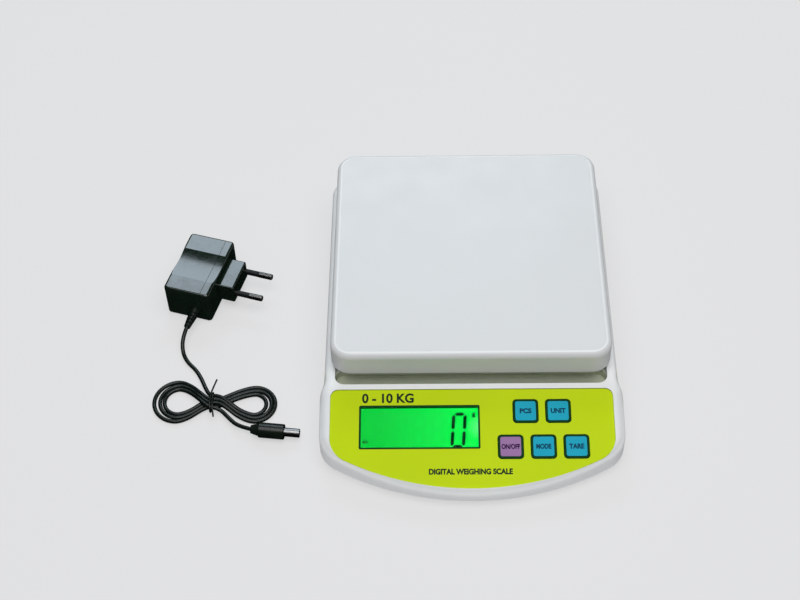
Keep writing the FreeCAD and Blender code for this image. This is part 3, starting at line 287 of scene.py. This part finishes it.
def display_look(name, brightness=1.0):
    """Backlit green liquid-crystal glass: brighter at the right, with faint streaks and a painted
    reflection, a pale glow near its right end.
    """
    material, tree, shader = new_material(name)
    where = tree.nodes.new("ShaderNodeTexCoord").outputs["Object"]
    low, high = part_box("lcd_glass")
    across = to_range(tree, split_vector(tree, where)[0], 0, 1, low.x + LEFT_MARGIN, high.x)
    glow = mix_colours(tree, across, DIM_GREEN, BRIGHT_GREEN)
    streak = tree.nodes.new("ShaderNodeTexWave")
    streak.bands_direction = "X"
    for key, value in (("Scale", 60), ("Distortion", 1.2), ("Detail", 1.5)):
        streak.inputs[key].default_value = value
    tree.links.new(where, streak.inputs["Vector"])
    faint = to_range(tree, streak.outputs["Fac"], 0, 0.10, 0, 1)
    glow = mix_colours(tree, faint, glow, STREAK_GREEN)
    # Painted reflection: pale green mixed in round a spot near the right end, fading with distance from it
    painted_reflection_distance = tree.nodes.new("ShaderNodeVectorMath")
    painted_reflection_distance.operation = "DISTANCE"
    painted_reflection_distance.inputs[1].default_value = PAINTED_REFLECTION_SPOT
    tree.links.new(where, painted_reflection_distance.inputs[0])
    painted_reflection_share = to_range(tree, painted_reflection_distance.outputs["Value"], PAINTED_REFLECTION_STRENGTH, 0, PAINTED_REFLECTION_CORE, PAINTED_REFLECTION_REACH)
    glow = mix_colours(tree, painted_reflection_share, glow, PAINTED_REFLECTION_GREEN)
    tree.links.new(glow, shader.inputs["Emission Color"])
    shader.inputs["Emission Strength"].default_value = brightness
    body = mix_colours(tree, across, (0.001, 0.05, 0.006), (0.001, 0.06, 0.008))
    tree.links.new(body, shader.inputs["Base Color"])
    gloss = to_range(tree, noise(tree, where, 70, 2), 0.30, 0.42)
    tree.links.new(gloss, shader.inputs["Roughness"])
    shader.inputs["Specular IOR Level"].default_value = 0.0
    return material


# ---------------------------------------------------------------- painted light and shade on the white plastic
# Each tone multiplies the plastic's colour over one region. They are set so that the render is
# as light or dark there as the photograph. They stand for nothing real in the plastic, and would look
# wrong in another light.
def multiply(tree, first, second):
    node = tree.nodes.new("ShaderNodeMath")
    node.operation = "MULTIPLY"
    tree.links.new(first, node.inputs[0])
    tree.links.new(second, node.inputs[1])
    return node.outputs[0]


def within(tree, value, low, high, soft):
    """One where the value lies between two limits, falling to nothing over a soft edge outside each."""
    rise = to_range(tree, value, 0, 1, low - soft, low)
    fall = to_range(tree, value, 1, 0, high, high + soft)
    return multiply(tree, rise, fall)


def place_of(tree):
    return split_vector(tree, tree.nodes.new("ShaderNodeTexCoord").outputs["Object"])


def normal_of(tree):
    return split_vector(tree, tree.nodes.new("ShaderNodeNewGeometry").outputs["Normal"])


def tray_edge_painted_highlight_share(tree):
    """The start of the rounding round the tray's top, by how far its surface leans, where a painted
    highlight goes.
    """
    return within(tree, normal_of(tree)[2], 0.93, 0.985, 0.0125)


def deck_painted_light_share(tree):
    """Faces of the base that look up, lightened as painted light: from nothing by the panel's crease to all
    of it beside the tray.
    """
    upward = to_range(tree, normal_of(tree)[2], 0, 1, 0.2, 0.8)
    return multiply(tree, upward, to_range(tree, place_of(tree)[1], 0, 1, -62 * MM, -45 * MM))


def gutter_painted_shade_share(tree):
    """The gutter in front of the tray, below the deck, where a greenish cast of light from the film and the
    tray's shadow are painted.

    It has no limit across, so it also takes in a patch of each outer side wall at the same height.
    """
    _, y, z = place_of(tree)
    along = within(tree, y, -54.3 * MM, -40.9 * MM, 0.1 * MM)
    return multiply(tree, along, within(tree, z, 19 * MM, 24.5 * MM, 2 * MM))


def gutter_front_painted_shadow_share(tree):
    """The same region again, from nothing at its rear to the whole share 6 mm further forward, for the
    tray's painted shadow.
    """
    forward = to_range(tree, place_of(tree)[1], 1, 0, -47 * MM, -41 * MM)
    return multiply(tree, gutter_painted_shade_share(tree), forward)


def film_step_painted_shadow_share(tree):
    """The small step down to the printed film along its upper edge, where a painted shadow darkens it."""
    near = within(tree, place_of(tree)[1], -60 * MM, -57.4 * MM, 0.1 * MM)
    return multiply(tree, near, to_range(tree, normal_of(tree)[1], 1, 0, -0.7, -0.4))


def front_wall_painted_light_share(tree):
    """The steep faces round the control panel, lightened as painted light."""
    upright = within(tree, normal_of(tree)[2], -0.1, 0.45, 0.3)
    return multiply(tree, upright, to_range(tree, place_of(tree)[1], 1, 0, -72 * MM, -60 * MM))


def tone(look, build_share, factor):
    """Multiply a look's colour by a factor, over the region whose share the given function builds."""
    tree = LOOKS[look].node_tree
    base = tree.nodes["Principled BSDF"].inputs["Base Color"]
    colour = base.links[0].from_socket
    tree.links.new(mix_colours(tree, build_share(tree), colour, factor, "MULTIPLY"), base)


# Painted light and painted shade, in the order in which they are laid on each other, each with its factors
# for red, green and blue
PAINTED_LIGHT_TONES = [
    ("white_abs_base", front_wall_painted_light_share, (1.28, 1.28, 1.28)),
    ("white_abs", tray_edge_painted_highlight_share, (1.2, 1.2, 1.2)),
    ("white_abs_base", deck_painted_light_share, (1.27, 1.27, 1.26)),
    ("white_abs_base", gutter_painted_shade_share, (1.08, 1.12, 0.90)),
    ("white_abs_base", gutter_front_painted_shadow_share, (0.52, 0.54, 0.50)),
    ("white_abs_base", film_step_painted_shadow_share, (0.50, 0.54, 0.30)),
]
for toned in PAINTED_LIGHT_TONES:
    tone(*toned)


# ---------------------------------------------------------------- display, ink and the looks of the nodes
LOOKS["clear_window"] = window_look()
LOOKS["lcd_green"] = display_look("lcd_green")
GHOST_LOOK = display_look("lcd_unlit", 0.94)
SEGMENT_LOOK = surface("lcd_segment", (0.001, 0.030, 0.008), 0.35, 0.2, 300, specular=0.0)
BARREL_LOOK = surface("barrel_metal", (0.27, 0.27, 0.27), 0.33, 0.15, 160, 1200, 0.000006, metallic=1.0)
PIN_LOOK = surface("pin_metal", (0.16, 0.16, 0.155), 0.28, 0.15, 160, 1200, 0.000006, metallic=1.0)
INK_LOOK = surface("printed_ink", INK, 0.45, 0.2, 400, 2600, 0.00001, specular=MATT)

for subpart in frame["record"]["subparts"]:
    node = NODES[subpart["node"]]
    node.data.materials.clear()
    node.data.materials.append(LOOKS[subpart["material_slot"]])
NODES["adapter_pins"].data.materials[0] = PIN_LOOK
NODES["dc_plug_barrel"].data.materials[0] = BARREL_LOOK


# ---------------------------------------------------------------- cord
# Routes are in millimetres. A strand that lies on the table has its middle at CORD_Z.
CORD_D = 2.6 * MM
CORD_Z = 1.35
ADAPTER_RUN = [
    (-182.65, 8.15, 8.0), (-184.9, 0.5, 6.6), (-184.6, -8.2, 2.9), (-181.0, -15.6, 1.6),
    (-175.0, -21.6, 1.5), (-170.6, -29.0, 1.6), (-167.4, -37.0, 2.6), (-163.6, -44.4, 4.0),
]
PLUG_RUN = [(-156.5, -54.0, 3.2), (-150.6, -60.6, 2.6), (-144.4, -67.4, 3.8), (-136.0, -70.5, 4.9)]
# The turns cross at the waist, side by side at this pitch, some strands over the others
WAIST = (-161.5, -48.9)
WAIST_PITCH = 2.7
OVER_Z, UNDER_Z = 4.95, 2.35
# Each turn's loops: how far the round end's centre is from the waist, and half its height
RIGHT_LOOPS = [(25.6, 7.9), (26.2, 10.6), (25.9, 13.3)]
LEFT_LOOPS = [(-22.1, 15.3), (-21.3, 12.4), (-21.2, 9.7)]
RIGHT_RISE, LEFT_RISE = -0.6, 2.0
# Along a loop's side: share of the way out, share of the spread reached, and share of the lift left
LOOP_SIDE = [(0.13, 0.0, 1.0), (0.36, 0.30, 0.95), (0.66, 0.76, 0.25)]
# The end's control points lie a little outside the curve that they pull
END_PULL = 1.03


def loop(reach, half, rise, side_in, side_out, z_in, z_out):
    """Control points from the waist round one loop: out along its lower side, back along its upper.

    Reach is negative to the left, and rise is how far the loop's middle is above the waist's. Side and z
    are where the strand leaves the waist and comes back to it.
    """
    x0, y0 = WAIST

    def side_point(step, level, start, height):
        x, spread, lift = step
        return (x0 + reach * x, y0 + level * spread + start * (1 - spread),
                CORD_Z + (height - CORD_Z) * lift)

    points = [side_point(step, rise - half, side_in, z_in) for step in LOOP_SIDE]
    sign = 1 if reach > 0 else -1
    for degrees in range(-90, 91, 30):
        angle = math.radians(degrees)
        points.append((x0 + reach + sign * half * END_PULL * math.cos(angle),
                       y0 + rise + half * END_PULL * math.sin(angle), CORD_Z))
    points += [side_point(step, rise + half, side_out, z_out) for step in reversed(LOOP_SIDE)]
    return points


def cord_points():
    """The whole cord: from the adapter, three figure-of-eight turns, then to the plug."""
    points = list(ADAPTER_RUN)
    for turn in range(len(RIGHT_LOOPS)):
        over_in = (1.5 - turn) * WAIST_PITCH
        over_out = (0.5 - turn) * WAIST_PITCH
        under = (turn - 1) * WAIST_PITCH
        points += loop(*RIGHT_LOOPS[turn], RIGHT_RISE, over_in, under, OVER_Z, UNDER_Z)
        points += loop(*LEFT_LOOPS[turn], LEFT_RISE, under, over_out, UNDER_Z, OVER_Z)
    return [Vector(point) * MM for point in points + PLUG_RUN]


cord_curve = new_curve("low_voltage_cord", CORD_D / 2, sides=8)
add_spline(cord_curve, cord_points(), resolution=10)
cord = link("low_voltage_cord", cord_curve, "adapter", LOOKS["cord_black"])
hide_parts("cord_adapter_run", "cord_hank", "cord_plug_run")


# The tie comes down over the waist, passes under the cord, and comes up and over it again
TIE_RADIUS = 0.55 * MM
TIE_ROUTE = [
    (-159.4, -35.2, 9.0), (-161.0, -39.8, 8.2), (-162.2, -43.0, 7.4), (-162.9, -47.0, 7.2),
    (-163.0, -51.0, 7.0), (-162.9, -55.0, 5.6), (-162.7, -56.2, 2.8), (-162.5, -54.0, 0.65),
    (-162.3, -49.0, 0.6), (-162.1, -43.8, 0.65), (-161.8, -41.8, 2.8), (-161.5, -42.8, 5.8),
    (-161.4, -46.0, 7.1), (-161.3, -51.5, 7.0), (-161.2, -54.8, 6.0), (-160.8, -57.4, 5.0),
    (-160.2, -60.6, 4.6),
]
tie_curve = new_curve("twist_tie_wire", TIE_RADIUS, sides=5)
add_spline(tie_curve, [Vector(point) * MM for point in TIE_ROUTE], resolution=10)
tie = link("twist_tie_wire", tie_curve, "adapter", LOOKS["cord_black"])
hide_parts("twist_tie")


# ---------------------------------------------------------------- springs and leads inside the base
SPRING_LENGTH, SPRING_END = 4.3 * MM, 0.4 * MM
SPRING_WIRE = 0.32 * MM
SPRING_WIDE, SPRING_NARROW = 4.2 * MM, 2.3 * MM
SPRING_TURNS, POINTS_A_TURN = 4, 14
# How far each coil's axis lies inside the box round both springs
SPRING_INSET = 4.6 * MM


def coil_points(start, y, z, ahead):
    """Points of one conical coil along x from its wide end, in the direction that ahead gives."""
    steps = SPRING_TURNS * POINTS_A_TURN
    points = []
    for index in range(steps + 1):
        share = index / steps
        radius = SPRING_WIDE + (SPRING_NARROW - SPRING_WIDE) * share
        angle = 2 * math.pi * SPRING_TURNS * share
        x = start + ahead * (SPRING_END + (SPRING_LENGTH - 2 * SPRING_END) * share)
        points.append((x, y + radius * math.cos(angle), z + radius * math.sin(angle)))
    return points


def add_springs():
    """Conical wire coils at opposite ends of the two cells, each from its contact plate to its cell."""
    low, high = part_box("battery_springs")
    middle = (high.y + low.y) / 2
    aside = (high.y - low.y) / 2 - SPRING_INSET
    z = (high.z + low.z) / 2
    curve = new_curve("spring_coils", SPRING_WIRE)
    add_spline(curve, coil_points(low.x, middle - aside, z, 1))
    add_spline(curve, coil_points(high.x, middle + aside, z, -1))
    coils = link("spring_coils", curve, "scale_base", LOOKS["nickel"])
    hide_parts("battery_springs")


WIRE_COLOURS = {"red": (0.42, 0.012, 0.01), "black": (0.015, 0.015, 0.015), "white": (0.68, 0.68, 0.66),
                "green": (0.01, 0.20, 0.05)}
WIRE_LOOKS = {name: surface("wire_" + name, colour, 0.4, 0.1, 150) for name, colour in WIRE_COLOURS.items()}
# How far each wire's middle is from the bundle's, in wire radii, so that the wires just clear each other
SPREAD = {2: 1.02, 4: 1.44}
# Each lead's wires, their radius in millimetres, and its route in millimetres
LEADS = {
    "gauge_lead": (("red", "black", "white", "green"), 0.52, [
        (0, 30.45, 13.0), (0, 18.0, 11.0), (5.0, 2.0, 9.2), (8.0, -16.0, 8.6), (4.0, -34.0, 9.0),
        (-2.0, -50.0, 11.2), (-5.0, -63.0, 14.0)]),
    "battery_lead": (("red", "black"), 0.58, [
        (-31.1, 84.0, 12.0), (-39.1, 82.0, 10.6), (-47.0, 74.0, 9.2), (-50.0, 58.0, 8.6),
        (-49.0, 38.0, 8.6), (-46.0, 16.0, 8.6), (-43.0, -8.0, 8.6), (-40.0, -32.0, 9.0),
        (-38.0, -50.0, 11.2), (-36.0, -63.0, 14.0)]),
    "power_lead": (("red", "black"), 0.58, [
        (-58.0, 107.1, 13.0), (-59.5, 97.0, 11.4), (-64.0, 80.0, 9.2), (-66.0, 58.0, 8.6),
        (-65.0, 32.0, 8.6), (-62.0, 6.0, 8.6), (-63.0, -18.0, 8.6), (-62.5, -38.0, 9.6),
        (-61.0, -52.0, 11.6), (-60.0, -63.0, 14.0)]),
}


def add_lead(node, colours, radius, route):
    """Bundle of two or four coloured wires along the lead's route."""
    curve = new_curve(node + "_wires", radius * MM, caps=False)
    spread = radius * SPREAD[len(colours)]
    for index, colour in enumerate(colours):
        angle = 2 * math.pi * (index + 0.5) / len(colours)
        aside, above = spread * math.cos(angle), spread * math.sin(angle)
        spline = add_spline(curve, [Vector((x + aside, y, z + above)) * MM for x, y, z in route])
        spline.material_index = index
    wires = bpy.data.objects.new(node + "_wires", curve)
    bpy.context.scene.collection.objects.link(wires)
    for colour in colours:
        curve.materials.append(WIRE_LOOKS[colour])
    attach(wires, "scale_base")
    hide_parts(node)


add_springs()
for node_name, (wire_colours, wire_radius, wire_route) in LEADS.items():
    add_lead(node_name, wire_colours, wire_radius, wire_route)


# ---------------------------------------------------------------- floor and light
FLOOR_REACH = 6.0
FLOOR_Z = -0.2 * MM
FLOOR_GLOW = 0.55
WORLD_COLOUR = (0.97, 0.98, 1.0)
WORLD_STRENGTH = 0.22
COOL = (0.76, 0.89, 1.0)
WHITE_LIGHT = (1, 1, 1)


def add_floor():
    """Matt grey floor with a glow of its own that keeps it pale and even. Glossy pieces don't mirror it."""
    material, tree, shader = new_material("floor")
    where = tree.nodes.new("ShaderNodeTexCoord").outputs["Object"]
    tint = mix_colours(tree, noise(tree, where, 3, 2), (0.205, 0.205, 0.206), (0.215, 0.215, 0.216))
    tree.links.new(tint, shader.inputs["Base Color"])
    shader.inputs["Roughness"].default_value = 0.9
    shader.inputs["Specular IOR Level"].default_value = 0.0
    shader.inputs["Emission Color"].default_value = (1.0, 1.0, 1.003, 1)
    shader.inputs["Emission Strength"].default_value = FLOOR_GLOW
    corners = [(x * FLOOR_REACH, y * FLOOR_REACH, FLOOR_Z) for x, y in ((-1, -1), (1, -1), (1, 1), (-1, 1))]
    mesh = bpy.data.meshes.new("floor")
    mesh.from_pydata(corners, [], [(0, 1, 2, 3)])
    mesh.materials.append(material)
    floor = bpy.data.objects.new("floor", mesh)
    floor.visible_glossy = False
    bpy.context.scene.collection.objects.link(floor)


def add_softbox(name, place, aim, size, power, colour):
    data = bpy.data.lights.new(name, "AREA")
    data.shape = "RECTANGLE"
    data.size, data.size_y = size
    data.energy = power
    data.color = colour
    light = bpy.data.objects.new(name, data)
    light.location = place
    light.rotation_euler = (Vector(aim) - Vector(place)).to_track_quat("-Z", "Y").to_euler()
    bpy.context.scene.collection.objects.link(light)


def add_world():
    """Even light from all round, which glossy pieces don't mirror."""
    world = bpy.data.worlds.new("studio")
    world.use_nodes = True
    back = world.node_tree.nodes["Background"]
    back.inputs["Color"].default_value = (*WORLD_COLOUR, 1)
    back.inputs["Strength"].default_value = WORLD_STRENGTH
    bpy.context.scene.world = world
    world.cycles_visibility.glossy = False


add_floor()
add_softbox("overhead", place=(0.05, -0.25, 1.6), aim=(-0.03, 0.0, 0), size=(1.6, 1.2), power=21,
            colour=WHITE_LIGHT)
add_softbox("far", place=(-0.2, 1.4, 1.24), aim=(-0.12, 0.03, 0), size=(1.1, 0.6), power=10, colour=COOL)
add_world()
bpy.context.scene.view_settings.view_transform = "Standard"


# ---------------------------------------------------------------- printing
# Letters get some depth in the font's units, and then all the same thickness in millimetres
FONT_DEPTH = 0.004
INK_THICK = 0.03


def print_text(name, words, u, v, n, height, width=None, bold=0.0, body="scale_base", slot="lime_overlay",
               look=INK_LOOK):
    """Words as a thin layer of ink, centred on (u, v) of the panel at height n, all in millimetres.

    Bold is how far the letters' outlines are moved outward, in the font's own units. Without a width,
    the letters keep the font's proportions.
    """
    curve = bpy.data.curves.new(name, "FONT")
    curve.body = words
    curve.align_x = "CENTER"
    curve.align_y = "CENTER"
    curve.size = 1.0
    curve.offset = bold
    curve.extrude = FONT_DEPTH
    probe = bpy.data.objects.new(name + "_probe", curve)
    bpy.context.scene.collection.objects.link(probe)
    bpy.context.view_layer.update()
    mesh = bpy.data.meshes.new_from_object(probe)
    bpy.data.objects.remove(probe)
    xs = [vertex.co.x for vertex in mesh.vertices]
    ys = [vertex.co.y for vertex in mesh.vertices]
    tall = height / (max(ys) - min(ys))
    wide = tall if width is None else width / (max(xs) - min(xs))
    middle = Vector(((max(xs) + min(xs)) / 2, (max(ys) + min(ys)) / 2, 0))
    for vertex in mesh.vertices:
        flat = vertex.co - middle
        level = n + (INK_THICK if flat.z > 0 else 0)
        vertex.co = on_panel(u + flat.x * wide, v - flat.y * tall, level)
    mesh.materials.clear()
    link(name, mesh, body, look)


print_text("print_title", "0 - 10 KG", -50.8, 6.15, FILM_TOP, height=6.3, width=31.5, bold=0.035)
print_text("print_name", "DIGITAL WEIGHING SCALE", -1.2, 53.7, FILM_TOP, height=3.8, width=50.0, bold=0.05)

LEGENDS = {"pcs": "PCS", "unit": "UNIT", "on_off": "ON/OFF", "mode": "MODE", "tare": "TARE"}
KEY_PLACES = {"pcs": (32.6, 15.1), "unit": (52.3, 15.1), "on_off": (23.0, 38.1), "mode": (42.7, 38.1),
              "tare": (62.4, 38.1)}
# A legend is as wide as its letters need, up to the widest that fits a key
LEGEND_HEIGHT = 3.3
LETTER_WIDTH, LEGEND_MARGIN, LEGEND_WIDEST = 1.9, 1.4, 11.2
LEGEND_INKS = {
    "key_blue": surface("legend_ink", (0.001, 0.045, 0.10), 0.45, 0.2, 400, 2600, 0.00001, specular=MATT),
    "key_purple": surface("legend_ink_purple", (0.035, 0.006, 0.05), 0.45, 0.2, 400, 2600, 0.00001,
                          specular=MATT),
}
for key, words in LEGENDS.items():
    key_look = "key_purple" if key == "on_off" else "key_blue"
    print_text("legend_" + key, words, *KEY_PLACES[key], KEY_TOP, height=LEGEND_HEIGHT,
               width=min(LETTER_WIDTH * len(words) + LEGEND_MARGIN, LEGEND_WIDEST), bold=0.048,
               body="key_" + key, slot=key_look, look=LEGEND_INKS[key_look])


# ---------------------------------------------------------------- display
# In millimetres on the panel, with each digit's place as that of its left side
DIGIT_TOP, DIGIT_WIDTH, DIGIT_HEIGHT = 15.9, 6.9, 21.0
BAR_THICK, BAR_GAP = 2.0, 0.55
DIGIT_LEAN = 0.07
UNLIT_DIGITS = [-59.8, -48.2, -36.6, -25.0]
LIT_DIGIT = -12.2
UNLIT_THICK, LIT_THICK = 0.02, 0.04


def bar_outline(start, end):
    """Six-sided bar from one end to the other, pointed at both ends."""
    along = (end - start).normalized()
    side = Vector((-along.y, along.x)) * BAR_THICK / 2
    tip = along * BAR_THICK / 2
    return [start, start + tip + side, end - tip + side, end, end - tip - side, start + tip - side]


def digit_bars(left, lit):
    """Outlines of the lit bars of a seven-segment digit that leans right, by its left side."""
    top, low = DIGIT_TOP, DIGIT_TOP + DIGIT_HEIGHT
    middle = DIGIT_TOP + DIGIT_HEIGHT / 2
    right = left + DIGIT_WIDTH
    bars = {
        "a": (left, top, right, top), "b": (right, top, right, middle), "c": (right, middle, right, low),
        "d": (left, low, right, low), "e": (left, middle, left, low), "f": (left, top, left, middle),
        "g": (left, middle, right, middle),
    }
    outlines = []
    for name in lit:
        u0, v0, u1, v1 = bars[name]
        start, end = Vector((u0, v0)), Vector((u1, v1))
        gap = (end - start).normalized() * BAR_GAP
        outline = bar_outline(start + gap, end - gap)
        outlines.append([Vector((point.x + (low - point.y) * DIGIT_LEAN, point.y)) for point in outline])
    return outlines


def add_display_marks(name, outlines, look, thick):
    """Thin raised shapes on the display's glass, from their outlines on the panel."""
    bm = bmesh.new()
    for outline in outlines:
        lower = [bm.verts.new(on_panel(point.x, point.y, GLASS_TOP)) for point in outline]
        upper = [bm.verts.new(on_panel(point.x, point.y, GLASS_TOP + thick)) for point in outline]
        bm.faces.new(lower)
        bm.faces.new(upper)
        for index in range(len(outline)):
            after = (index + 1) % len(outline)
            bm.faces.new((lower[index], lower[after], upper[after], upper[index]))
    bmesh.ops.remove_doubles(bm, verts=bm.verts, dist=1e-7)
    bmesh.ops.recalc_face_normals(bm, faces=bm.faces)
    mesh = bpy.data.meshes.new(name)
    bm.to_mesh(mesh)
    bm.free()
    link(name, mesh, "scale_base", look)


unlit = [outline for left in UNLIT_DIGITS for outline in digit_bars(left, "abcdefg")]
add_display_marks("lcd_unlit_segments", unlit, GHOST_LOOK, UNLIT_THICK)
add_display_marks("lcd_digit", digit_bars(LIT_DIGIT, "abcdef"), SEGMENT_LOOK, LIT_THICK)
print_text("lcd_unit_mark", "g", 1.2, 16.6, GLASS_TOP, height=3.2, bold=0.04, slot="lcd_green",
           look=SEGMENT_LOOK)
print_text("lcd_zero_mark", "0", -64.4, 33.6, GLASS_TOP, height=2.0, width=3.4, bold=0.03, slot="lcd_green",
           look=SEGMENT_LOOK)
